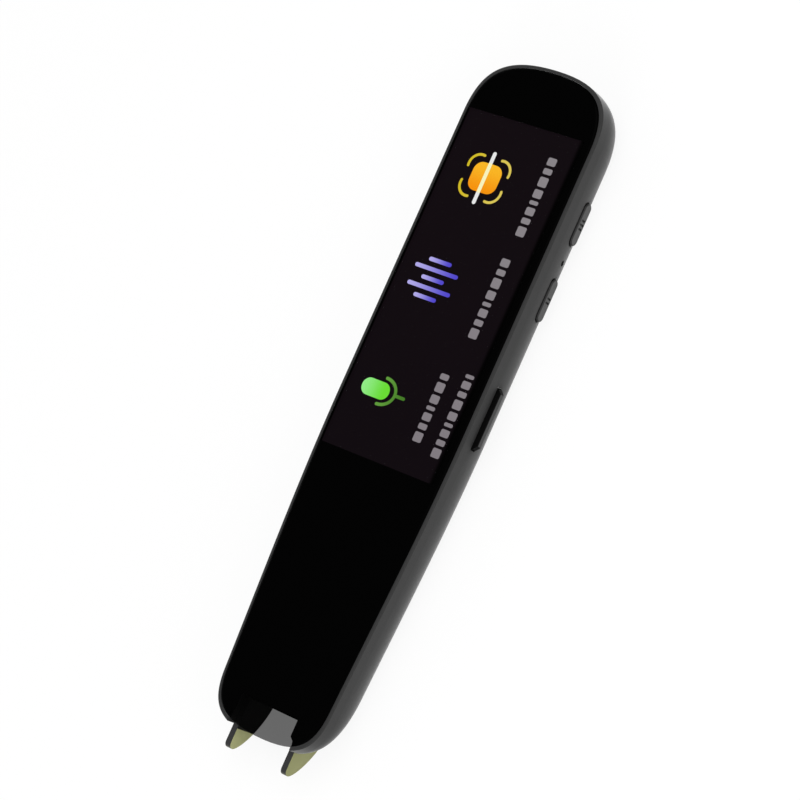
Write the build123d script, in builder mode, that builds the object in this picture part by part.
"""Handheld scanning translator: a slim pen with a long screen, a speaker in its back and a forked nib.

Millimetres. +Z comes out of the screen and +Y runs towards the lanyard end. The pen lies on its back on
Z = 0. X = 0 is the middle of the case. Y = 0 is about half-way between the lanyard end and the tips of
the nib.
"""

import os
from math import cos, pi, sin

from build123d import *

os.makedirs("parts", exist_ok=True)

# ---------------------------------------------------------------- case
CASE_WIDTH = 36.0
CASE_DEPTH = 12.45           # back plane to the front of the rim
TOP_Y = 82.65                # lanyard end of the case
TIP_Y = -78.0                # nib end of the case
HALF = CASE_WIDTH / 2
TIP_HALF = 15.3              # half width where the nib-end corners begin
TAPER_FROM_Y = 0.0           # the sides run straight above this
TOP_CORNER = 14.5            # length of the rounding at each end, along Y
TIP_CORNER = 11.2
TOP_FULLNESS = 0.72          # how square the corners are: 0.55 is an ellipse, 1 is a sharp corner
TIP_FULLNESS = 0.73
TAPER_LEAN = 1.25            # slope at the end of the taper against its mean slope
BACK_ROUND_Z = 9.2           # the back edge rolls over this height ...
BACK_ROUND_X = 4.0           # ... and this far in from the sides,
BACK_ROUND_TOP = 5.5         # the top end
BACK_ROUND_TIP = 16.0        # and the nib end, which slopes up to the glass
FRONT_ROUND = 0.35
ROUND_STEPS = 6
WALL = 1.3
RIM = 0.75                   # visible rim round the glass
LEDGE_Z = 11.35              # shelf that carries the glass
HIGH_HOLLOW_IN = 2.05        # side wall of the hollow's wide upper step
LOW_HOLLOW_IN = 3.5          # side wall of its narrow lower step
LOW_HOLLOW_Z = 3.4           # height of the step between the two
LOW_HOLLOW_END_Y = -59.0
END_WALL_EXTRA = 1.2         # the lanyard end's wall is thicker than the sides by this
BULKHEAD_IN_Y = -65.0        # wall between the electronics and the nib slot
BULKHEAD_OUT_Y = -68.2

# ---------------------------------------------------------------- glass and display
GLASS_TOP_Z = 12.6
GLASS_BOTTOM_Z = 11.5
GLASS_GAP = 0.07
GLASS_ROUND = 0.5
TAPE_IN = 1.0
PANEL_X = (-15.7, 15.5)
PANEL_Y = (-17.5, 69.4)
PANEL_Z = (10.25, GLASS_BOTTOM_Z)
PANEL_STEP_Y = 3.5           # thinner strip at the nib end, for the driver chip and the ribbon
PANEL_STEP_Z = 0.6
DRIVER_LONG = 18.0
DRIVER_WIDE = 1.2
DRIVER_THICK = 0.35
BACKLIGHT_Z = (9.2, 10.2)
TRAY_LIP = 0.3
RIBBON = 0.15                # thickness of every flexible circuit
DISPLAY_RIBBON_WIDE = 8.0
DISPLAY_RIBBON_Z = 6.62      # middle of its long run under the frame
DISPLAY_FOLD_Y = 2.2         # the fold stands out this far past the panel
DISPLAY_FOLD_RADIUS = 0.9
CONNECTOR_Y = (29.9, 32.2)   # row of connectors at the main board's lower edge
CONNECTOR_HIGH = 0.6

# ---------------------------------------------------------------- inner frame and boards
FRAME_Z = (8.6, 9.2)
FRAME_IN = 2.4
FRAME_TOP_IN = 5.65
FRAME_TIP_Y = -63.5
FRAME_WALL_WIDE = 26.0       # stiffening wall past the display
FRAME_WALL_THICK = 0.9
FRAME_WALL_GAP_Y = 4.0
RIB_Y = (-32.0, -42.0, -52.0)
RIB_THICK = 0.8
RIB_HIGH = 1.6
POST_RADIUS = 1.3
BOARD_Z = (7.3, 8.1)
MAIN_BOARD_Y = (29.5, 70.8)
MAIN_BOARD_HALF = 14.2
SCAN_BOARD_Y = (-63.0, -36.0)
SCAN_BOARD_HALF = 12.2
BOARD_CORNER = 2.0
SCREW_SPOTS = [(-10.6, 72.6), (10.6, 72.6), (-13.4, 24.5), (13.4, 24.5), (-12.4, -33.2), (12.4, -33.2)]
BOSS_RADIUS = 1.5
PILOT_RADIUS = 0.6
PILOT_DEEP = 4.0
SCREW_RADIUS = 0.55
SCREW_LONG = 3.9
SCREW_HEAD_RADIUS = 1.2
SCREW_HEAD_HIGH = 0.62
SCREW_HOLE_RADIUS = 0.75
DRIVE_LONG = 1.3             # cross recess in every screw head
DRIVE_WIDE = 0.32
DRIVE_DEEP = 0.3
MAIN_BOARD_SCREWS = [(-11.0, 68.0), (11.0, 68.0)]
SCAN_BOARD_SCREWS = [(-10.0, -39.0), (10.0, -39.0)]
BOARD_SCREW_RADIUS = 0.45
BOARD_SCREW_HEAD_RADIUS = 1.1
BOARD_SCREW_HEAD_HIGH = 0.6
BOARD_HOLE_RADIUS = 0.6
BOARD_PILOT_RADIUS = 0.5

# ---------------------------------------------------------------- keys on the right side
BUTTON_Y = (52.9, 34.65)     # power and home
BUTTON_Z = 4.8
BUTTON_LONG = 10.1
BUTTON_TALL = 2.6
BUTTON_FACE_X = 18.15
BUTTON_ROUND = 0.4
KEY_FLANGE = 0.7             # flange round each key's foot, inside the wall
FLANGE_THICK = 0.6
KEY_GAP = 0.15               # clearance of the flanges
MOUTH_GAP = 0.3              # shadow gap round each key, where it comes out of the wall
KEY_TRAVEL = 0.3
PAD_IN_X = 15.3              # flat inside the wall, where the flanges stop
PAD_OUT_X = 16.1
FLANGE_IN_X = PAD_IN_X - KEY_GAP - FLANGE_THICK
MARK_WIDE = 0.45             # marks pressed into the button faces
MARK_DEEP = 0.2
POWER_MARKS = [(-1.0, 1.3), (0.0, 1.7), (1.0, 1.3)]
HOME_MARKS = [(-0.5, 1.5), (0.5, 1.5)]
VOICE_Y = 5.35
VOICE_Z = 7.9
VOICE_LONG = 14.3
VOICE_TALL = 1.4
VOICE_FACE_X = 19.2
VOICE_CHAMFER = 1.0
VOICE_ROUND = 0.25
VOICE_FLANGE = 0.5           # its flange above and below, which passes under the backlight
PLUNGER_X = FLANGE_IN_X - KEY_TRAVEL - 0.12
PLUNGER_LONG = 0.5
PLUNGER_RADIUS = 0.75
SWITCH_DEEP = 1.9
SWITCH_LONG = 4.6
SWITCH_BELOW = 1.2           # how far a switch body reaches under its plunger's middle
SWITCH_TAB = (0.5, 1.0, 0.2)
SWITCH_BREAK = 0.2
SWITCH_BACK_X = PLUNGER_X - PLUNGER_LONG - SWITCH_DEEP
STRIP_THICK = 0.3
STRIP_HALF = 5.0
STRIP_Z = (5.3, 8.4)
STRIP_TAIL_Z = (5.3, 7.0)
STRIP_TAIL_Y = 31.5
MIC_Y = 43.6
MIC_Z = 4.5
MIC_RADIUS = 0.72
MIC_BOARD_X = (13.2, 13.9)
MIC_CAN_X = (12.2, 13.2)
MIC_WIDE = 3.2
MIC_BOOT_WIDE = 3.0

# ---------------------------------------------------------------- charging socket on the left side
USB_Y = 50.4
USB_Z = 5.3
USB_LONG = 8.94
USB_TALL = 3.2
USB_WALL = 0.3
USB_X = (-17.45, -10.4)
USB_BACK = 0.3
USB_GAP = 0.1
USB_LEG_X = (-14.0, -12.6)
USB_LEG_Y = 3.2
USB_LEG_THICK = 0.4
TONGUE_X = -16.6
TONGUE_WIDE = 6.6
TONGUE_THICK = 0.7
TONGUE_ROOT_LONG = 1.5
TONGUE_ROOT_TALL = 2.4

# ---------------------------------------------------------------- chips on the boards, each (x, y, height)
PROCESSOR = ((-8.5, 1.5), (33.8, 43.8), 1.1)
MEMORY = ((3.0, 10.0), (34.0, 42.0), 0.9)
SHIELD = ((-9.6, 10.9), (32.9, 45.0), 1.7)
SHIELD_WALL = 0.2
SHIELD_HOLE_RADIUS = 0.45
SHIELD_HOLE_PITCH = 3.0
SHIELD_HOLES = (5, 3)        # along X and along Y
SCAN_CHIP = ((-4.0, 4.0), (-50.0, -42.0), 1.0)
CHIP_BREAK = 0.12
ANTENNA = ((-4.0, 4.0), (67.0, 69.2), 0.3)
ANTENNA_STRIPES = 5
ANTENNA_STRIPE = (0.8, 1.6, 0.08)

# ---------------------------------------------------------------- speaker in the back
SPEAKER_Y = 58.8
GRILLE_SIDE = 22.0
GRILLE_CORNER = 4.4
GRILLE_Z = (0.05, 0.95)
GRILLE_GAP = 0.1
RING_RADIUS = 10.04          # the round groove; the slots are set out in parts of this radius
RING_DEEP = 0.25
SLOT_WIDTH = 0.07
ARMS = 8
LONG_SLOT = (0.28, 0.92, 0.097)     # from, to, offset from the arm's line
SHORT_SLOT = (0.49, 0.87, 0.30)
DOT = (0.72, 0.51, 0.054)           # along, offset, radius
SPEAKER_PAD_HALF = 12.2
SPEAKER_PAD_Z = 2.1
SPEAKER_HOLE = 9.0
MESH_RADIUS = 10.3
MESH_Z = (0.95, 1.1)
BASKET_RADIUS = 10.0
BASKET_Z = (2.5, 5.4)
BASKET_WALL = 0.6
BASKET_VENT_RADIUS = 1.2
BASKET_VENT_AT = 7.2
CONE_Z = 3.0
CONE_THICK = 0.15
CONE_SINK = 0.6
SURROUND_FROM = 7.0
DOME_RADIUS = 4.2
COIL_RADIUS = 4.0
COIL_WALL = 0.3
COIL_Z = (3.15, 4.9)
YOKE_RADIUS = 5.4
YOKE_WALL = 0.8
YOKE_Z = (4.1, 6.7)
MAGNET_RADIUS = 3.3
LEAD_RADIUS = 0.3

# ---------------------------------------------------------------- lanyard bar in the top end
LANYARD_HALF = 6.8
LANYARD_Z = (1.6, 6.0)
LANYARD_IN_Y = 75.6
LANYARD_BLOCK = 1.2          # thickness of the cover's block behind the bar
LANYARD_BLOCK_END_Y = 78.6
LOOP_Z = (2.7, 4.9)
LOOP_WIDE = 5.2
LOOP_POST = 1.55
LOOP_BACK_Y = (76.8, 78.4)

# ---------------------------------------------------------------- battery
BATTERY_HALF = 11.2
BATTERY_Y = (-31.0, 21.5)
BATTERY_Z = (1.45, 6.45)
BATTERY_ROUND = 1.2
BATTERY_TAPE_HALF = 8.0
BATTERY_TAPE_IN = 4.0
BATTERY_BOARD_HALF = 9.0
BATTERY_BOARD_Y = (21.5, 24.7)
BATTERY_BOARD_Z = (4.4, 5.2)
GUARD_CHIPS_X = (-4.7, 2.5)
GUARD_CHIP = (2.5, 2.0, 0.8)
LEADS_X = (-8.0, -6.6, -5.2)
LEADS_Y = 23.9
LEADS_Z = 6.2
LEADS_BEND = 0.45
PLUG_X = (-8.9, -4.4)
PLUG_HIGH = 1.6

# ---------------------------------------------------------------- scanning nib
NIB_HALF = 8.8               # outside of the fork
NIB_WALL = 1.45
NIB_TIP_Y = -82.2
NIB_FRONT_Z = 9.8
NIB_BACK_Z = 0.15
NIB_CEILING_Y = -70.35       # inner end of the slot
NIB_BRIDGE_Y = -68.9
NIB_CORNER = 2.0
NIB_TRAVEL = 0.5
NIB_GAP = 0.2
NIB_TIP_ROUND = 1.3
NIB_TIP_PULL = 2.2           # how straight the legs' curved back leaves the tip
NIB_HEEL_Y = -69.7           # where that curved back meets the hood
NIB_HEEL_PULL = (6.5, 0.7)
VISOR_Y = -66.2              # the hood's back runs up to here
VISOR_Z = (0.35, 2.3)
VISOR_BEND_Y = -69.4
ARM_X = 7.2                  # guide arms that slide in the bulkhead
ARM_SIDE = 2.0
ARM_Z = 5.6
ARM_END_Y = -62.0
ARM_GAP = 0.1
CATCH_Y = (-64.8, -64.0)     # catches behind the bulkhead that keep the nib in
CATCH_IN_X = 5.9
CATCH_OUT_X = 8.5
STRIKER_OUT_X = 10.2         # the right catch reaches on to press the switch
PORT_HALF = 4.6
PORT_Z = (3.4, 7.8)
PANE_HALF = 5.3
PANE_Y = (-68.1, -67.3)
PANE_Z = (2.8, 8.4)
PANE_GAP = 0.05
SPRING_STOP_Y = (-58.0, -57.0)
SPRING_STOP_HALF = 1.6
SPRING_RADIUS = 0.8
SPRING_WIRE = 0.13
SPRING_TURNS = 5
SPRING_REST = 0.05
NIB_SWITCH_X = (8.9, 12.2)
NIB_SWITCH_Y = (-62.0, -58.5)
NIB_SWITCH_Z = (4.4, BOARD_Z[0])
NIB_PLUNGER_X = (9.1, 10.1)
NIB_PLUNGER_Y = (-63.35, -62.0)
NIB_PLUNGER_Z = (5.1, 6.1)

# ---------------------------------------------------------------- scanning camera behind the nib
CAMERA_HALF = 4.5
CAMERA_Y = (-63.5, -54.0)
CAMERA_Z = (3.5, BOARD_Z[0])
LENS_Z = 5.3
LENS_RADIUS = 1.7
LENS_Y = (-64.8, -63.5)
LENS_DISH = 0.3
LED_X = (2.1, 3.9)
LED_Y = (-64.4, -63.5)
LED_Z = (4.7, 5.9)
SCAN_RIBBON_X = (-8.4, -4.6)
SCAN_RIBBON_Y = (-40.0, 33.0)
SCAN_RIBBON_Z = (8.15, 8.3)
RIBBON_END_LONG = 2.0
RIBBON_END_Z = (BOARD_Z[1], 8.5)

CUT = 1.0                    # cutters overshoot the surfaces they open by this


def case_outline(side_in=0.0, top_in=0.0, tip_in=0.0):
    """Adds the case's outline to the open sketch, drawn in by the three amounts."""
    scale_x = (HALF - side_in) / HALF
    scale_top = (TOP_Y - top_in) / TOP_Y
    scale_tip = (TIP_Y + tip_in) / TIP_Y
    corner_y = TIP_Y + TIP_CORNER
    lean = (HALF - TIP_HALF) / (TAPER_FROM_Y - corner_y) * TAPER_LEAN
    taper_third = (TAPER_FROM_Y - corner_y) / 3
    reach = TIP_CORNER * TIP_FULLNESS

    def placed(*points):
        return [(x * scale_x, y * (scale_top if y > 0 else scale_tip)) for x, y in points]

    with BuildLine() as outline:
        Bezier(*placed(
            (0, TOP_Y),
            (HALF * TOP_FULLNESS, TOP_Y),
            (HALF, TOP_Y - TOP_CORNER * (1 - TOP_FULLNESS)),
            (HALF, TOP_Y - TOP_CORNER),
        ))
        Line(*placed((HALF, TOP_Y - TOP_CORNER), (HALF, TAPER_FROM_Y)))
        Bezier(*placed(
            (HALF, TAPER_FROM_Y),
            (HALF, TAPER_FROM_Y - taper_third),
            (TIP_HALF + lean * taper_third, corner_y + taper_third),
            (TIP_HALF, corner_y),
        ))
        Bezier(*placed(
            (TIP_HALF, corner_y),
            (TIP_HALF - lean * reach, corner_y - reach),
            (TIP_HALF * TIP_FULLNESS, TIP_Y),
            (0, TIP_Y),
        ))
        mirror(about=Plane.YZ)
    make_face(outline.edges())


def case_slab(drawn_in, top_in, end_y, z, mode=Mode.ADD):
    """Adds a slab of the case's outline, drawn in at the sides and the top and cut off square at end_y."""
    with BuildSketch(Plane.XY.offset(z[0])) as slab:
        case_outline(drawn_in, top_in, 0)
        with Locations((0, end_y - CASE_WIDTH)):
            Rectangle(2 * CASE_WIDTH, 2 * CASE_WIDTH, mode=Mode.SUBTRACT)
    extrude(slab.sketch, amount=z[1] - z[0], mode=mode)


def save(builder, name):
    """Labels the finished piece and writes its file."""
    builder.part.label = name
    export_step(builder.part, f"parts/{name}.step")


def about(middle, size):
    """The pair of limits of a size centred on the middle."""
    return (middle - size / 2, middle + size / 2)


def grown(limits, by):
    """The pair of limits moved apart by an amount at each end."""
    return (limits[0] - by, limits[1] + by)


def sided(side, near, far):
    """The pair of limits of a stretch on the left (-1) or the right (1) of the middle."""
    return tuple(sorted((side * near, side * far)))


def block(x, y, z, mode=Mode.ADD):
    """A box between pairs of limits, in the open part."""
    with Locations(((x[0] + x[1]) / 2, (y[0] + y[1]) / 2, (z[0] + z[1]) / 2)):
        Box(x[1] - x[0], y[1] - y[0], z[1] - z[0], mode=mode)


def disc(x, y, z, radius, mode=Mode.ADD):
    """An upright cylinder between two heights, in the open part."""
    with Locations((x, y, (z[0] + z[1]) / 2)):
        Cylinder(radius, z[1] - z[0], mode=mode)


def rod(x, y, z, radius, mode=Mode.ADD):
    """A cylinder that runs along X between two limits, in the open part."""
    with Locations(Plane(((x[0] + x[1]) / 2, y, z), z_dir=(1, 0, 0))):
        Cylinder(radius, x[1] - x[0], mode=mode)


def pill_on_side(y, z, long, tall, x, mode=Mode.ADD):
    """A round-ended bar that runs along X between two limits, in the open part."""
    with BuildSketch(Plane.YZ.offset(x[0])) as pill:
        with Locations((y, z)):
            SlotOverall(long, tall)
    extrude(pill.sketch, amount=x[1] - x[0], mode=mode)


def cross_recess(x, y, z):
    """Cuts a cross-shaped drive between two heights into a screw head of the open part."""
    block(about(x, DRIVE_LONG), about(y, DRIVE_WIDE), z, Mode.SUBTRACT)
    block(about(x, DRIVE_WIDE), about(y, DRIVE_LONG), z, Mode.SUBTRACT)


# ---------------------------------------------------------------- the case's outer form, before it is cut
with BuildPart() as case_form:
    for step in range(ROUND_STEPS + 1):
        roll = pi / 2 * (1 - step / ROUND_STEPS)
        with BuildSketch(Plane.XY.offset(BACK_ROUND_Z * (1 - sin(roll)))):
            share = 1 - cos(roll)
            case_outline(BACK_ROUND_X * share, BACK_ROUND_TOP * share, BACK_ROUND_TIP * share)
    loft()
    with BuildSketch(Plane.XY.offset(BACK_ROUND_Z)):
        case_outline()
    extrude(amount=CASE_DEPTH - FRONT_ROUND - BACK_ROUND_Z)
    for roll in (0, pi / 4, pi / 2):
        with BuildSketch(Plane.XY.offset(CASE_DEPTH - FRONT_ROUND * (1 - sin(roll)))):
            case_outline(*[FRONT_ROUND * (1 - cos(roll))] * 3)
    loft()


# ---------------------------------------------------------------- rear cover
with BuildPart() as rear_cover:
    add(case_form.part)
    with BuildSketch(Plane.XY.offset(LEDGE_Z)):
        case_outline(RIM, RIM, RIM)
    extrude(amount=CASE_DEPTH, mode=Mode.SUBTRACT)
    case_slab(HIGH_HOLLOW_IN, HIGH_HOLLOW_IN + END_WALL_EXTRA, BULKHEAD_IN_Y, (LOW_HOLLOW_Z, CASE_DEPTH),
              Mode.SUBTRACT)
    case_slab(LOW_HOLLOW_IN, LOW_HOLLOW_IN + END_WALL_EXTRA, LOW_HOLLOW_END_Y, (WALL, LOW_HOLLOW_Z),
              Mode.SUBTRACT)
    # flats behind the side keys, the block that backs the lanyard bar, the speaker's pad
    buttons_y = (BUTTON_Y[1] - BUTTON_LONG, BUTTON_Y[0] + BUTTON_LONG)
    block((PAD_IN_X, PAD_OUT_X), buttons_y, (LOW_HOLLOW_Z - WALL, BOARD_Z[0]))
    voice_y = about(VOICE_Y, VOICE_LONG + 2 * (KEY_FLANGE + FLANGE_THICK))
    block((PAD_IN_X, PAD_OUT_X), voice_y, (LOW_HOLLOW_Z, BACKLIGHT_Z[0]))
    block(about(0, 2 * (LANYARD_HALF + LANYARD_BLOCK)), (LANYARD_IN_Y - LANYARD_BLOCK, LANYARD_BLOCK_END_Y),
          (WALL, LANYARD_Z[1] + LANYARD_BLOCK))
    block(about(0, 2 * SPEAKER_PAD_HALF), about(SPEAKER_Y, 2 * SPEAKER_PAD_HALF), (WALL, SPEAKER_PAD_Z))
    # screw bosses and spring stops
    for x, y in SCREW_SPOTS:
        disc(x, y, (WALL, FRAME_Z[0]), BOSS_RADIUS)
    for side in (-1, 1):
        block(about(side * ARM_X, 2 * SPRING_STOP_HALF), SPRING_STOP_Y, (WALL, BOARD_Z[0]))
    for x, y in SCREW_SPOTS:
        disc(x, y, (FRAME_Z[0] - PILOT_DEEP, FRAME_Z[0] + CUT), PILOT_RADIUS, Mode.SUBTRACT)
    # ways out for the keys, with room for their flanges
    for y in BUTTON_Y:
        pill_on_side(y, BUTTON_Z, BUTTON_LONG + 2 * MOUTH_GAP, BUTTON_TALL + 2 * MOUTH_GAP,
                     (FLANGE_IN_X, HALF + CUT), Mode.SUBTRACT)
        flange_y = about(y, BUTTON_LONG + 2 * (KEY_FLANGE + KEY_GAP))
        flange_z = about(BUTTON_Z, BUTTON_TALL + 2 * (KEY_FLANGE + KEY_GAP))
        block((FLANGE_IN_X - KEY_TRAVEL - KEY_GAP, PAD_IN_X), flange_y, flange_z, Mode.SUBTRACT)
    block((FLANGE_IN_X, VOICE_FACE_X + CUT), about(VOICE_Y, VOICE_LONG + 2 * MOUTH_GAP),
          about(VOICE_Z, VOICE_TALL + 2 * MOUTH_GAP), Mode.SUBTRACT)
    rod((PAD_IN_X - CUT, HALF + CUT), MIC_Y, MIC_Z, MIC_RADIUS, Mode.SUBTRACT)
    pill_on_side(USB_Y, USB_Z, USB_LONG + 2 * USB_GAP, USB_TALL + 2 * USB_GAP,
                 (-HALF - CUT, -HALF + WALL + CUT), Mode.SUBTRACT)
    # speaker: recess for the grille, seat for the mesh, round way through
    recess_side = GRILLE_SIDE + 2 * GRILLE_GAP
    with BuildSketch(Plane.XY.offset(-CUT)):
        with Locations((0, SPEAKER_Y)):
            RectangleRounded(recess_side, recess_side, GRILLE_CORNER + GRILLE_GAP)
    extrude(amount=CUT + GRILLE_Z[1], mode=Mode.SUBTRACT)
    disc(0, SPEAKER_Y, (0, MESH_Z[1]), MESH_RADIUS + GRILLE_GAP, Mode.SUBTRACT)
    disc(0, SPEAKER_Y, (0, SPEAKER_PAD_Z + CUT), SPEAKER_HOLE, Mode.SUBTRACT)
    # pocket for the lanyard bar
    block((-LANYARD_HALF, LANYARD_HALF), (LANYARD_IN_Y, TOP_Y + CUT), LANYARD_Z, Mode.SUBTRACT)
    # slot for the nib: the fork, the room behind the hood, the scan port, the guides for the arms
    slot_x = about(0, 2 * (NIB_HALF + NIB_GAP))
    block(slot_x, (TIP_Y - CUT, BULKHEAD_OUT_Y), (-CUT, CASE_DEPTH + CUT), Mode.SUBTRACT)
    block(slot_x, (BULKHEAD_OUT_Y - CUT, VISOR_Y + NIB_TRAVEL + NIB_GAP), (-CUT, VISOR_Z[1] + NIB_GAP),
          Mode.SUBTRACT)
    block((-PORT_HALF, PORT_HALF), (BULKHEAD_OUT_Y - CUT, BULKHEAD_IN_Y + CUT), PORT_Z, Mode.SUBTRACT)
    block(about(0, 2 * (PANE_HALF + PANE_GAP)), (BULKHEAD_OUT_Y - CUT, PANE_Y[1]), grown(PANE_Z, PANE_GAP),
          Mode.SUBTRACT)
    for side in (-1, 1):
        block(about(side * ARM_X, ARM_SIDE + 2 * ARM_GAP), (BULKHEAD_OUT_Y - CUT, BULKHEAD_IN_Y + CUT),
              about(ARM_Z, ARM_SIDE + 2 * ARM_GAP), Mode.SUBTRACT)
save(rear_cover, "rear_cover")

# ---------------------------------------------------------------- front glass and the tape under it
with BuildPart() as cover_glass:
    glass_in = RIM + GLASS_GAP
    with BuildSketch(Plane.XY.offset(GLASS_BOTTOM_Z)):
        case_outline(glass_in, glass_in, glass_in)
    extrude(amount=GLASS_TOP_Z - GLASS_ROUND - GLASS_BOTTOM_Z)
    for roll in (0, pi / 4, pi / 2):
        with BuildSketch(Plane.XY.offset(GLASS_TOP_Z - GLASS_ROUND * (1 - sin(roll)))):
            case_outline(*[glass_in + GLASS_ROUND * (1 - cos(roll))] * 3)
    loft()
save(cover_glass, "cover_glass")

with BuildPart() as glass_tape:
    tape_z = (LEDGE_Z, GLASS_BOTTOM_Z)
    with BuildSketch(Plane.XY.offset(LEDGE_Z)):
        case_outline(TAPE_IN, TAPE_IN, TAPE_IN)
    extrude(amount=GLASS_BOTTOM_Z - LEDGE_Z)
    case_slab(HIGH_HOLLOW_IN, HIGH_HOLLOW_IN + END_WALL_EXTRA, BULKHEAD_IN_Y, tape_z, Mode.SUBTRACT)
    block(about(0, 2 * (NIB_HALF + NIB_GAP)), (TIP_Y - CUT, BULKHEAD_OUT_Y), tape_z, Mode.SUBTRACT)
save(glass_tape, "glass_tape")

# ---------------------------------------------------------------- display
with BuildPart() as display_panel:
    step_y = (PANEL_Y[0], PANEL_Y[0] + PANEL_STEP_Y)
    block(PANEL_X, PANEL_Y, PANEL_Z)
    block(PANEL_X, step_y, (PANEL_Z[0] + PANEL_STEP_Z, PANEL_Z[1]), Mode.SUBTRACT)
save(display_panel, "display_panel")

with BuildPart() as display_driver:
    driver_z = PANEL_Z[0] + PANEL_STEP_Z
    block(about(0, DRIVER_LONG), about(PANEL_Y[0] + PANEL_STEP_Y - DRIVER_WIDE, DRIVER_WIDE),
          (driver_z, driver_z + DRIVER_THICK))
save(display_driver, "display_driver")

with BuildPart() as backlight_unit:
    tray_y = (PANEL_Y[0] + PANEL_STEP_Y, PANEL_Y[1])
    block(PANEL_X, tray_y, BACKLIGHT_Z)
    # lip of the steel tray along both long edges
    for lip in ((PANEL_X[0], PANEL_X[0] + TRAY_LIP), (PANEL_X[1] - TRAY_LIP, PANEL_X[1])):
        block(lip, tray_y, (BACKLIGHT_Z[1], PANEL_Z[0]))
save(backlight_unit, "backlight_unit")

# a ribbon that folds from the panel's step through the frame and runs to the main board's edge
with BuildPart() as display_flex:
    ribbon_z = PANEL_Z[0] + PANEL_STEP_Z + RIBBON / 2
    fold_y = PANEL_Y[0] - DISPLAY_FOLD_Y
    with BuildSketch(Plane.YZ.offset(-DISPLAY_RIBBON_WIDE / 2)):
        with BuildLine():
            FilletPolyline(
                (PANEL_Y[0] + DRIVER_WIDE, ribbon_z),
                (fold_y, ribbon_z),
                (fold_y, DISPLAY_RIBBON_Z),
                (CONNECTOR_Y[1], DISPLAY_RIBBON_Z),
                radius=DISPLAY_FOLD_RADIUS,
            )
        trace(line_width=RIBBON)
    extrude(amount=DISPLAY_RIBBON_WIDE)
save(display_flex, "display_flex")

with BuildPart() as display_connector:
    block(about(0, DISPLAY_RIBBON_WIDE), CONNECTOR_Y, (BOARD_Z[0] - CONNECTOR_HIGH, BOARD_Z[0]))
    chamfer(display_connector.edges().filter_by(Axis.Z), CHIP_BREAK)
save(display_connector, "display_connector")

# ---------------------------------------------------------------- inner frame
with BuildPart() as mid_frame:
    case_slab(FRAME_IN, FRAME_TOP_IN, FRAME_TIP_Y, FRAME_Z)
    # stiffening wall and ribs on the stretch past the display
    wall_y = (FRAME_TIP_Y + RIB_THICK, PANEL_Y[0] - FRAME_WALL_GAP_Y)
    with BuildSketch(Plane.XY.offset(FRAME_Z[1])):
        with Locations((0, (wall_y[0] + wall_y[1]) / 2)):
            RectangleRounded(FRAME_WALL_WIDE, wall_y[1] - wall_y[0], BOARD_CORNER)
        offset(amount=-FRAME_WALL_THICK, kind=Kind.INTERSECTION, mode=Mode.SUBTRACT)
    extrude(amount=GLASS_BOTTOM_Z - FRAME_Z[1])
    rib_x = about(0, FRAME_WALL_WIDE - FRAME_WALL_THICK)
    for rib_y in RIB_Y:
        block(rib_x, about(rib_y, RIB_THICK), (FRAME_Z[1], FRAME_Z[1] + RIB_HIGH))
    for x, y in MAIN_BOARD_SCREWS + SCAN_BOARD_SCREWS:
        disc(x, y, (BOARD_Z[1], FRAME_Z[0]), POST_RADIUS)
    # ways through: the display's ribbon, the voice key and its switch, screws
    through_z = grown(FRAME_Z, CUT)
    block(about(0, DISPLAY_RIBBON_WIDE + 2 * NIB_GAP),
          about(PANEL_Y[0] - DISPLAY_FOLD_Y, 2 * DISPLAY_FOLD_RADIUS), through_z, Mode.SUBTRACT)
    block((SWITCH_BACK_X - STRIP_THICK - KEY_GAP, HALF), voice_y, through_z, Mode.SUBTRACT)
    for x, y in SCREW_SPOTS:
        with Locations((x, y, FRAME_Z[1])):
            CounterSinkHole(SCREW_HOLE_RADIUS, SCREW_HEAD_RADIUS + PANE_GAP, depth=PILOT_DEEP)
    for x, y in MAIN_BOARD_SCREWS + SCAN_BOARD_SCREWS:
        disc(x, y, grown((BOARD_Z[1], FRAME_Z[1]), CUT), BOARD_PILOT_RADIUS, Mode.SUBTRACT)
save(mid_frame, "mid_frame")


# ---------------------------------------------------------------- keys, with a flange inside the wall
def side_button(y, marks):
    """A pill button with a flanged foot and short upright marks pressed into its face."""
    with BuildPart() as button:
        pill_on_side(y, BUTTON_Z, BUTTON_LONG, BUTTON_TALL, (FLANGE_IN_X, BUTTON_FACE_X))
        fillet(button.faces().sort_by(Axis.X)[-1].edges(), BUTTON_ROUND)
        pill_on_side(y, BUTTON_Z, BUTTON_LONG + 2 * KEY_FLANGE, BUTTON_TALL + 2 * KEY_FLANGE,
                     (FLANGE_IN_X, FLANGE_IN_X + FLANGE_THICK))
        for mark_y, mark_long in marks:
            block((BUTTON_FACE_X - MARK_DEEP, BUTTON_FACE_X + CUT), about(y + mark_y, MARK_WIDE),
                  about(BUTTON_Z, mark_long), Mode.SUBTRACT)
    return button


power_button = side_button(BUTTON_Y[0], POWER_MARKS)
save(power_button, "power_button")
home_button = side_button(BUTTON_Y[1], HOME_MARKS)
save(home_button, "home_button")

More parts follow.
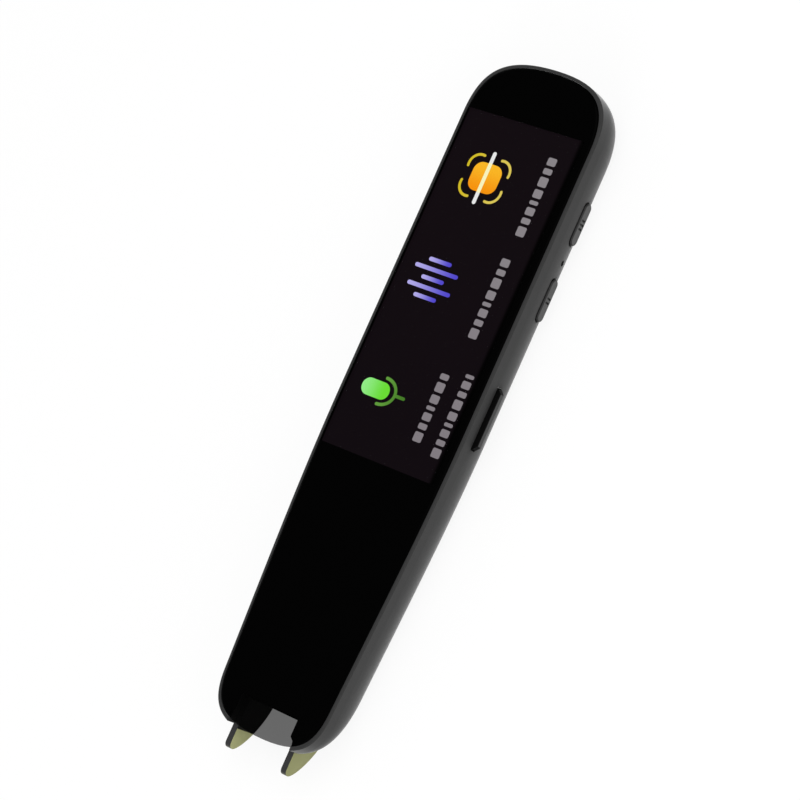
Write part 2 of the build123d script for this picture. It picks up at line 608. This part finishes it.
with BuildPart() as voice_key:
    key_y = about(VOICE_Y, VOICE_LONG)
    with BuildSketch(Plane.XY.offset(VOICE_Z - VOICE_TALL / 2)):
        with BuildLine():
            Polyline(
                (FLANGE_IN_X, key_y[0]),
                (VOICE_FACE_X - VOICE_CHAMFER, key_y[0]),
                (VOICE_FACE_X, key_y[0] + VOICE_CHAMFER),
                (VOICE_FACE_X, key_y[1] - VOICE_CHAMFER),
                (VOICE_FACE_X - VOICE_CHAMFER, key_y[1]),
                (FLANGE_IN_X, key_y[1]),
                close=True,
            )
        make_face()
    extrude(amount=VOICE_TALL)
    fillet(voice_key.faces().sort_by(Axis.X)[-1].edges().filter_by(Axis.Y), VOICE_ROUND)
    block((FLANGE_IN_X, FLANGE_IN_X + FLANGE_THICK), grown(key_y, KEY_FLANGE),
          about(VOICE_Z, VOICE_TALL + 2 * VOICE_FLANGE))
save(voice_key, "voice_key")


def side_switch(y, z, top_z):
    """A side-push switch: body, solder tabs and a round plunger that faces +X."""
    with BuildPart() as switch:
        body_x = (SWITCH_BACK_X, SWITCH_BACK_X + SWITCH_DEEP)
        block(body_x, about(y, SWITCH_LONG), (z - SWITCH_BELOW, top_z))
        chamfer(switch.edges().filter_by(Axis.X), SWITCH_BREAK)
        rod((PLUNGER_X - PLUNGER_LONG, PLUNGER_X), y, z, PLUNGER_RADIUS)
        tab_long, tab_wide, tab_thick = SWITCH_TAB
        block(about(SWITCH_BACK_X + tab_wide, tab_wide), about(y, SWITCH_LONG + 2 * tab_long),
              (top_z - 2 * tab_thick, top_z - tab_thick))
    return switch


power_switch = side_switch(BUTTON_Y[0], BUTTON_Z, BOARD_Z[0])
save(power_switch, "power_switch")
home_switch = side_switch(BUTTON_Y[1], BUTTON_Z, BOARD_Z[0])
save(home_switch, "home_switch")
voice_switch = side_switch(VOICE_Y, VOICE_Z, VOICE_Z + SWITCH_BELOW)
save(voice_switch, "voice_switch")

# stiff strip behind the voice key's switch, with a tail that runs past the battery to the main board
with BuildPart() as voice_key_flex:
    block((SWITCH_BACK_X - STRIP_THICK, SWITCH_BACK_X), about(VOICE_Y, 2 * STRIP_HALF), STRIP_Z)
    block((SWITCH_BACK_X - STRIP_THICK, SWITCH_BACK_X - RIBBON), (VOICE_Y, STRIP_TAIL_Y), STRIP_TAIL_Z)
save(voice_key_flex, "voice_key_flex")

with BuildPart() as side_microphone:
    block(MIC_BOARD_X, about(MIC_Y, MIC_WIDE), (LOW_HOLLOW_Z, BOARD_Z[0]))
    block(MIC_CAN_X, about(MIC_Y, MIC_WIDE - 2 * CHIP_BREAK), (LOW_HOLLOW_Z, BOARD_Z[0] - CONNECTOR_HIGH))
    rod(grown(MIC_BOARD_X, KEY_GAP), MIC_Y, MIC_Z, MIC_RADIUS / 2, Mode.SUBTRACT)
save(side_microphone, "side_microphone")

with BuildPart() as microphone_boot:
    block((MIC_BOARD_X[1], PAD_IN_X), about(MIC_Y, MIC_BOOT_WIDE),
          (LOW_HOLLOW_Z, BOARD_Z[0] - CONNECTOR_HIGH))
    rod((MIC_BOARD_X[1] - CUT, PAD_IN_X + CUT), MIC_Y, MIC_Z, MIC_RADIUS, Mode.SUBTRACT)
save(microphone_boot, "microphone_boot")

# ---------------------------------------------------------------- charging socket
with BuildPart() as usb_c_shell:
    pill_on_side(USB_Y, USB_Z, USB_LONG, USB_TALL, USB_X)
    pill_on_side(USB_Y, USB_Z, USB_LONG - 2 * USB_WALL, USB_TALL - 2 * USB_WALL,
                 (USB_X[0] - CUT, USB_X[1] - USB_BACK), Mode.SUBTRACT)
    leg_z = (USB_Z + USB_TALL / 2 - USB_WALL, BOARD_Z[0])
    for side in (-1, 1):
        block(USB_LEG_X, about(USB_Y + side * USB_LEG_Y, USB_LEG_THICK), leg_z)
save(usb_c_shell, "usb_c_shell")

with BuildPart() as usb_c_tongue:
    root_x = USB_X[1] - USB_BACK
    block((TONGUE_X, root_x), about(USB_Y, TONGUE_WIDE), about(USB_Z, TONGUE_THICK))
    block((root_x - TONGUE_ROOT_LONG, root_x), about(USB_Y, TONGUE_WIDE - TONGUE_THICK),
          about(USB_Z, TONGUE_ROOT_TALL))
save(usb_c_tongue, "usb_c_tongue")


# ---------------------------------------------------------------- boards and what is soldered to them
def circuit_board(half, y, screws):
    """A round-cornered board with a hole for each of its screws."""
    with BuildPart() as board:
        with BuildSketch(Plane.XY.offset(BOARD_Z[0])) as plan:
            with Locations((0, (y[0] + y[1]) / 2)):
                RectangleRounded(2 * half, y[1] - y[0], BOARD_CORNER)
        extrude(plan.sketch, amount=BOARD_Z[1] - BOARD_Z[0])
        for hole_x, hole_y in screws:
            disc(hole_x, hole_y, grown(BOARD_Z, CUT), BOARD_HOLE_RADIUS, Mode.SUBTRACT)
    return board


def chip(x, y, high):
    """A chip on the underside of a board."""
    with BuildPart() as package:
        block(x, y, (BOARD_Z[0] - high, BOARD_Z[0]))
        chamfer(package.faces().sort_by(Axis.Z)[0].edges(), CHIP_BREAK)
    return package


main_board = circuit_board(MAIN_BOARD_HALF, MAIN_BOARD_Y, MAIN_BOARD_SCREWS)
save(main_board, "main_board")
scan_board = circuit_board(SCAN_BOARD_HALF, SCAN_BOARD_Y, SCAN_BOARD_SCREWS)
save(scan_board, "scan_board")
processor = chip(*PROCESSOR)
save(processor, "processor")
memory_chip = chip(*MEMORY)
save(memory_chip, "memory_chip")
scan_chip = chip(*SCAN_CHIP)
save(scan_chip, "scan_chip")

with BuildPart() as shield_can:
    shield_x, shield_y, shield_high = SHIELD
    block(shield_x, shield_y, (BOARD_Z[0] - shield_high, BOARD_Z[0]))
    block(grown(shield_x, -SHIELD_WALL), grown(shield_y, -SHIELD_WALL),
          (BOARD_Z[0] - shield_high + SHIELD_WALL, BOARD_Z[0] + CUT), Mode.SUBTRACT)
    with Locations((sum(shield_x) / 2, sum(shield_y) / 2, BOARD_Z[0] - shield_high)):
        with GridLocations(SHIELD_HOLE_PITCH, SHIELD_HOLE_PITCH, *SHIELD_HOLES):
            Cylinder(SHIELD_HOLE_RADIUS, CUT, mode=Mode.SUBTRACT)
save(shield_can, "shield_can")

with BuildPart() as wireless_antenna:
    antenna_x, antenna_y, antenna_high = ANTENNA
    stripe_wide, stripe_pitch, stripe_high = ANTENNA_STRIPE
    block(antenna_x, antenna_y, (BOARD_Z[1], BOARD_Z[1] + antenna_high))
    for stripe in range(ANTENNA_STRIPES):
        middle = (stripe - (ANTENNA_STRIPES - 1) / 2) * stripe_pitch
        block(about(middle, stripe_wide), grown(antenna_y, -SHIELD_WALL),
              (BOARD_Z[1] + antenna_high, BOARD_Z[1] + antenna_high + stripe_high))
save(wireless_antenna, "wireless_antenna")

# ---------------------------------------------------------------- battery
with BuildPart() as battery_cell:
    block((-BATTERY_HALF, BATTERY_HALF), BATTERY_Y, BATTERY_Z)
    fillet(battery_cell.edges().filter_by(Axis.Y), BATTERY_ROUND)
save(battery_cell, "battery_cell")

with BuildPart() as battery_board:
    chip_long, chip_wide, chip_high = GUARD_CHIP
    block((-BATTERY_BOARD_HALF, BATTERY_BOARD_HALF), BATTERY_BOARD_Y, BATTERY_BOARD_Z)
    for chip_x in GUARD_CHIPS_X:
        block(about(chip_x, chip_long), about(sum(BATTERY_BOARD_Y) / 2, chip_wide),
              (BATTERY_BOARD_Z[0] - chip_high, BATTERY_BOARD_Z[0]))
save(battery_board, "battery_board")

with BuildPart() as battery_tape:
    block((-BATTERY_TAPE_HALF, BATTERY_TAPE_HALF), grown(BATTERY_Y, -BATTERY_TAPE_IN), (WALL, BATTERY_Z[0]))
save(battery_tape, "battery_tape")

with BuildPart() as battery_leads:
    for lead_x in LEADS_X:
        with BuildLine(Plane.YZ.offset(lead_x)) as run:
            FilletPolyline((LEADS_Y, BATTERY_BOARD_Z[1]), (LEADS_Y, LEADS_Z), (CONNECTOR_Y[0], LEADS_Z),
                           radius=LEADS_BEND)
        with BuildSketch(Plane(run.line @ 0, z_dir=run.line % 0)):
            Circle(LEAD_RADIUS)
        sweep(path=run.line)
save(battery_leads, "battery_leads")

with BuildPart() as battery_plug:
    block(PLUG_X, CONNECTOR_Y, (BOARD_Z[0] - PLUG_HIGH, BOARD_Z[0]))
    chamfer(battery_plug.edges().filter_by(Axis.Z), CHIP_BREAK)
save(battery_plug, "battery_plug")

# ---------------------------------------------------------------- speaker: grille, mesh, gasket and driver
with BuildPart() as speaker_grille:
    with BuildSketch(Plane.XY.offset(GRILLE_Z[0])):
        with Locations((0, SPEAKER_Y)):
            RectangleRounded(GRILLE_SIDE, GRILLE_SIDE, GRILLE_CORNER)
            with PolarLocations(0, ARMS):
                for start, end, aside in (LONG_SLOT, SHORT_SLOT):
                    slot_long = (end - start) * RING_RADIUS
                    with Locations(((start + end) / 2 * RING_RADIUS, -aside * RING_RADIUS)):
                        SlotOverall(slot_long, SLOT_WIDTH * RING_RADIUS, mode=Mode.SUBTRACT)
                with Locations((DOT[0] * RING_RADIUS, -DOT[1] * RING_RADIUS)):
                    Circle(DOT[2] * RING_RADIUS, mode=Mode.SUBTRACT)
    extrude(amount=GRILLE_Z[1] - GRILLE_Z[0])
    with BuildSketch(Plane.XY.offset(GRILLE_Z[0])):
        with Locations((0, SPEAKER_Y)):
            Circle(RING_RADIUS * (1 + SLOT_WIDTH / 2))
            Circle(RING_RADIUS * (1 - SLOT_WIDTH / 2), mode=Mode.SUBTRACT)
    extrude(amount=RING_DEEP, mode=Mode.SUBTRACT)
save(speaker_grille, "speaker_grille")

with BuildPart() as speaker_mesh:
    disc(0, SPEAKER_Y, MESH_Z, MESH_RADIUS)
save(speaker_mesh, "speaker_mesh")

with BuildPart() as speaker_gasket:
    gasket_z = (SPEAKER_PAD_Z, BASKET_Z[0])
    disc(0, SPEAKER_Y, gasket_z, BASKET_RADIUS)
    disc(0, SPEAKER_Y, grown(gasket_z, CUT), BASKET_RADIUS - 2 * BASKET_WALL, Mode.SUBTRACT)
save(speaker_gasket, "speaker_gasket")

with BuildPart() as speaker_basket:
    disc(0, SPEAKER_Y, BASKET_Z, BASKET_RADIUS)
    disc(0, SPEAKER_Y, (BASKET_Z[0] - CUT, BASKET_Z[1] - BASKET_WALL), BASKET_RADIUS - BASKET_WALL,
         Mode.SUBTRACT)
    disc(0, SPEAKER_Y, grown(BASKET_Z, CUT), YOKE_RADIUS, Mode.SUBTRACT)
    with Locations((0, SPEAKER_Y, BASKET_Z[1])):
        with PolarLocations(BASKET_VENT_AT, ARMS):
            Cylinder(BASKET_VENT_RADIUS, 2 * CUT, mode=Mode.SUBTRACT)
save(speaker_basket, "speaker_basket")

# paper cone: a shallow dome, a flat stretch and a folded surround
with BuildPart() as speaker_cone:
    cone_out = BASKET_RADIUS - BASKET_WALL
    with BuildSketch(Plane.XZ.offset(-SPEAKER_Y)):
        with BuildLine():
            front = [
                (0, CONE_Z - CONE_SINK),
                (DOME_RADIUS, CONE_Z),
                (SURROUND_FROM, CONE_Z),
                ((SURROUND_FROM + cone_out) / 2, CONE_Z - CONE_SINK / 2),
                (cone_out, CONE_Z),
            ]
            Polyline(*front, *[(x, z + CONE_THICK) for x, z in reversed(front)], close=True)
        make_face()
    revolve(axis=Axis((0, SPEAKER_Y, 0), (0, 0, 1)))
save(speaker_cone, "speaker_cone")

with BuildPart() as speaker_coil:
    disc(0, SPEAKER_Y, COIL_Z, COIL_RADIUS)
    disc(0, SPEAKER_Y, grown(COIL_Z, CUT), COIL_RADIUS - COIL_WALL, Mode.SUBTRACT)
save(speaker_coil, "speaker_coil")

with BuildPart() as speaker_magnet:
    disc(0, SPEAKER_Y, YOKE_Z, YOKE_RADIUS)
    disc(0, SPEAKER_Y, (YOKE_Z[0] - CUT, YOKE_Z[1] - YOKE_WALL), YOKE_RADIUS - YOKE_WALL, Mode.SUBTRACT)
    disc(0, SPEAKER_Y, YOKE_Z, MAGNET_RADIUS)
save(speaker_magnet, "speaker_magnet")

with BuildPart() as speaker_leads:
    for side in (-1, 1):
        disc(side * CUT, SPEAKER_Y + BASKET_VENT_AT + 2 * CUT, (BASKET_Z[1], BOARD_Z[0]), LEAD_RADIUS)
save(speaker_leads, "speaker_leads")

# ---------------------------------------------------------------- lanyard bar
with BuildPart() as lanyard_bar:
    block(about(0, 2 * (LANYARD_HALF - PANE_GAP)), (LANYARD_IN_Y, TOP_Y), grown(LANYARD_Z, -PANE_GAP))
    add(case_form.part, mode=Mode.INTERSECT)
    for side in (-1, 1):
        block(sided(side, LOOP_POST / 2, LOOP_POST / 2 + LOOP_WIDE), (LOOP_BACK_Y[0], TOP_Y), LOOP_Z,
              Mode.SUBTRACT)
    block(about(0, LOOP_POST), LOOP_BACK_Y, LOOP_Z, Mode.SUBTRACT)
save(lanyard_bar, "lanyard_bar")

# ---------------------------------------------------------------- scanning nib: hood, fork and guide arms
with BuildPart() as scan_nib:
    nib_inner = NIB_HALF - NIB_WALL
    tip_z = NIB_FRONT_Z - NIB_TIP_ROUND
    with BuildSketch(Plane.YZ.offset(-NIB_HALF)):
        with BuildLine():
            Polyline(
                (NIB_CEILING_Y, NIB_BACK_Z),
                (VISOR_BEND_Y, NIB_BACK_Z),
                (VISOR_Y, VISOR_Z[0]),
                (VISOR_Y, VISOR_Z[1]),
                (NIB_BRIDGE_Y, VISOR_Z[1]),
                (NIB_BRIDGE_Y, NIB_FRONT_Z),
                (NIB_CEILING_Y, NIB_FRONT_Z),
                close=True,
            )
        make_face()
    extrude(amount=2 * NIB_HALF)
    fillet(scan_nib.edges().filter_by(Axis.Z).group_by(Axis.Y)[-1], NIB_CORNER)
    for side in (-1, 1):
        with BuildSketch(Plane.YZ.offset(min(side * nib_inner, side * NIB_HALF))):
            with BuildLine():
                Polyline(
                    (NIB_HEEL_Y, NIB_BACK_Z),
                    (NIB_BRIDGE_Y, NIB_BACK_Z),
                    (NIB_BRIDGE_Y, NIB_FRONT_Z),
                    (NIB_TIP_Y + NIB_TIP_ROUND, NIB_FRONT_Z),
                )
                TangentArc((NIB_TIP_Y + NIB_TIP_ROUND, NIB_FRONT_Z), (NIB_TIP_Y, tip_z), tangent=(-1, 0))
                Bezier((NIB_TIP_Y, tip_z), (NIB_TIP_Y, tip_z - NIB_TIP_PULL),
                       (NIB_HEEL_Y - NIB_HEEL_PULL[0], NIB_BACK_Z + NIB_HEEL_PULL[1]),
                       (NIB_HEEL_Y, NIB_BACK_Z))
            make_face()
        extrude(amount=NIB_WALL)
        catch_out = STRIKER_OUT_X if side > 0 else CATCH_OUT_X
        block(about(side * ARM_X, ARM_SIDE), (NIB_BRIDGE_Y, ARM_END_Y), about(ARM_Z, ARM_SIDE))
        block(sided(side, CATCH_IN_X, catch_out), CATCH_Y, about(ARM_Z, ARM_SIDE))
    block((-PORT_HALF, PORT_HALF), grown((NIB_CEILING_Y, NIB_BRIDGE_Y), CUT), PORT_Z, Mode.SUBTRACT)
save(scan_nib, "scan_nib")

with BuildPart() as nib_springs:
    spring_y = (ARM_END_Y + SPRING_REST, SPRING_STOP_Y[0] - SPRING_REST)
    spring_long = spring_y[1] - spring_y[0] - 2 * SPRING_WIRE
    for side in (-1, 1):
        foot = (side * ARM_X, spring_y[0] + SPRING_WIRE, ARM_Z)
        with BuildLine() as coil:
            Helix(spring_long / SPRING_TURNS, spring_long, SPRING_RADIUS, center=foot, direction=(0, 1, 0))
        with BuildSketch(Plane(coil.line @ 0, z_dir=coil.line % 0)):
            Circle(SPRING_WIRE)
        sweep(path=coil.line)
save(nib_springs, "nib_springs")

with BuildPart() as nib_switch:
    block(NIB_SWITCH_X, NIB_SWITCH_Y, NIB_SWITCH_Z)
    chamfer(nib_switch.edges().filter_by(Axis.Y), SWITCH_BREAK)
    block(NIB_PLUNGER_X, NIB_PLUNGER_Y, NIB_PLUNGER_Z)
save(nib_switch, "nib_switch")

# ---------------------------------------------------------------- scanning camera
with BuildPart() as scan_window:
    block((-PANE_HALF, PANE_HALF), PANE_Y, PANE_Z)
save(scan_window, "scan_window")

with BuildPart() as camera_housing:
    block((-CAMERA_HALF, CAMERA_HALF), CAMERA_Y, CAMERA_Z)
    chamfer(camera_housing.faces().sort_by(Axis.Y)[-1].edges(), 2 * SWITCH_BREAK)
save(camera_housing, "camera_housing")

with BuildPart() as camera_lens:
    with Locations(Plane((0, sum(LENS_Y) / 2, LENS_Z), z_dir=(0, 1, 0))):
        Cylinder(LENS_RADIUS, LENS_Y[1] - LENS_Y[0])
    with Locations(Plane((0, LENS_Y[0], LENS_Z), z_dir=(0, 1, 0))):
        Cylinder(LENS_RADIUS - LENS_DISH, LENS_DISH, mode=Mode.SUBTRACT)
save(camera_lens, "camera_lens")

with BuildPart() as scan_leds:
    for side in (-1, 1):
        block(sided(side, *LED_X), LED_Y, LED_Z)
save(scan_leds, "scan_leds")

# ribbon over the battery from the scan board to the main board
with BuildPart() as scan_flex:
    block(SCAN_RIBBON_X, SCAN_RIBBON_Y, SCAN_RIBBON_Z)
    for end_y in ((SCAN_RIBBON_Y[0], SCAN_RIBBON_Y[0] + RIBBON_END_LONG),
                  (SCAN_RIBBON_Y[1] - RIBBON_END_LONG, SCAN_RIBBON_Y[1])):
        block(SCAN_RIBBON_X, end_y, RIBBON_END_Z)
save(scan_flex, "scan_flex")

# ---------------------------------------------------------------- screws
with BuildPart() as chassis_screws:
    for x, y in SCREW_SPOTS:
        disc(x, y, (FRAME_Z[1] - SCREW_HEAD_HIGH - SCREW_LONG, FRAME_Z[1] - SCREW_HEAD_HIGH), SCREW_RADIUS)
        with Locations((x, y, FRAME_Z[1] - SCREW_HEAD_HIGH / 2)):
            Cone(SCREW_RADIUS, SCREW_HEAD_RADIUS, SCREW_HEAD_HIGH)
        cross_recess(x, y, (FRAME_Z[1] - DRIVE_DEEP, FRAME_Z[1] + CUT))
save(chassis_screws, "chassis_screws")

with BuildPart() as board_screws:
    head_z = BOARD_Z[0] - BOARD_SCREW_HEAD_HIGH
    for x, y in MAIN_BOARD_SCREWS + SCAN_BOARD_SCREWS:
        disc(x, y, (BOARD_Z[0], FRAME_Z[1]), BOARD_SCREW_RADIUS)
        disc(x, y, (head_z, BOARD_Z[0]), BOARD_SCREW_HEAD_RADIUS)
        cross_recess(x, y, (head_z - CUT, head_z + DRIVE_DEEP))
save(board_screws, "board_screws")
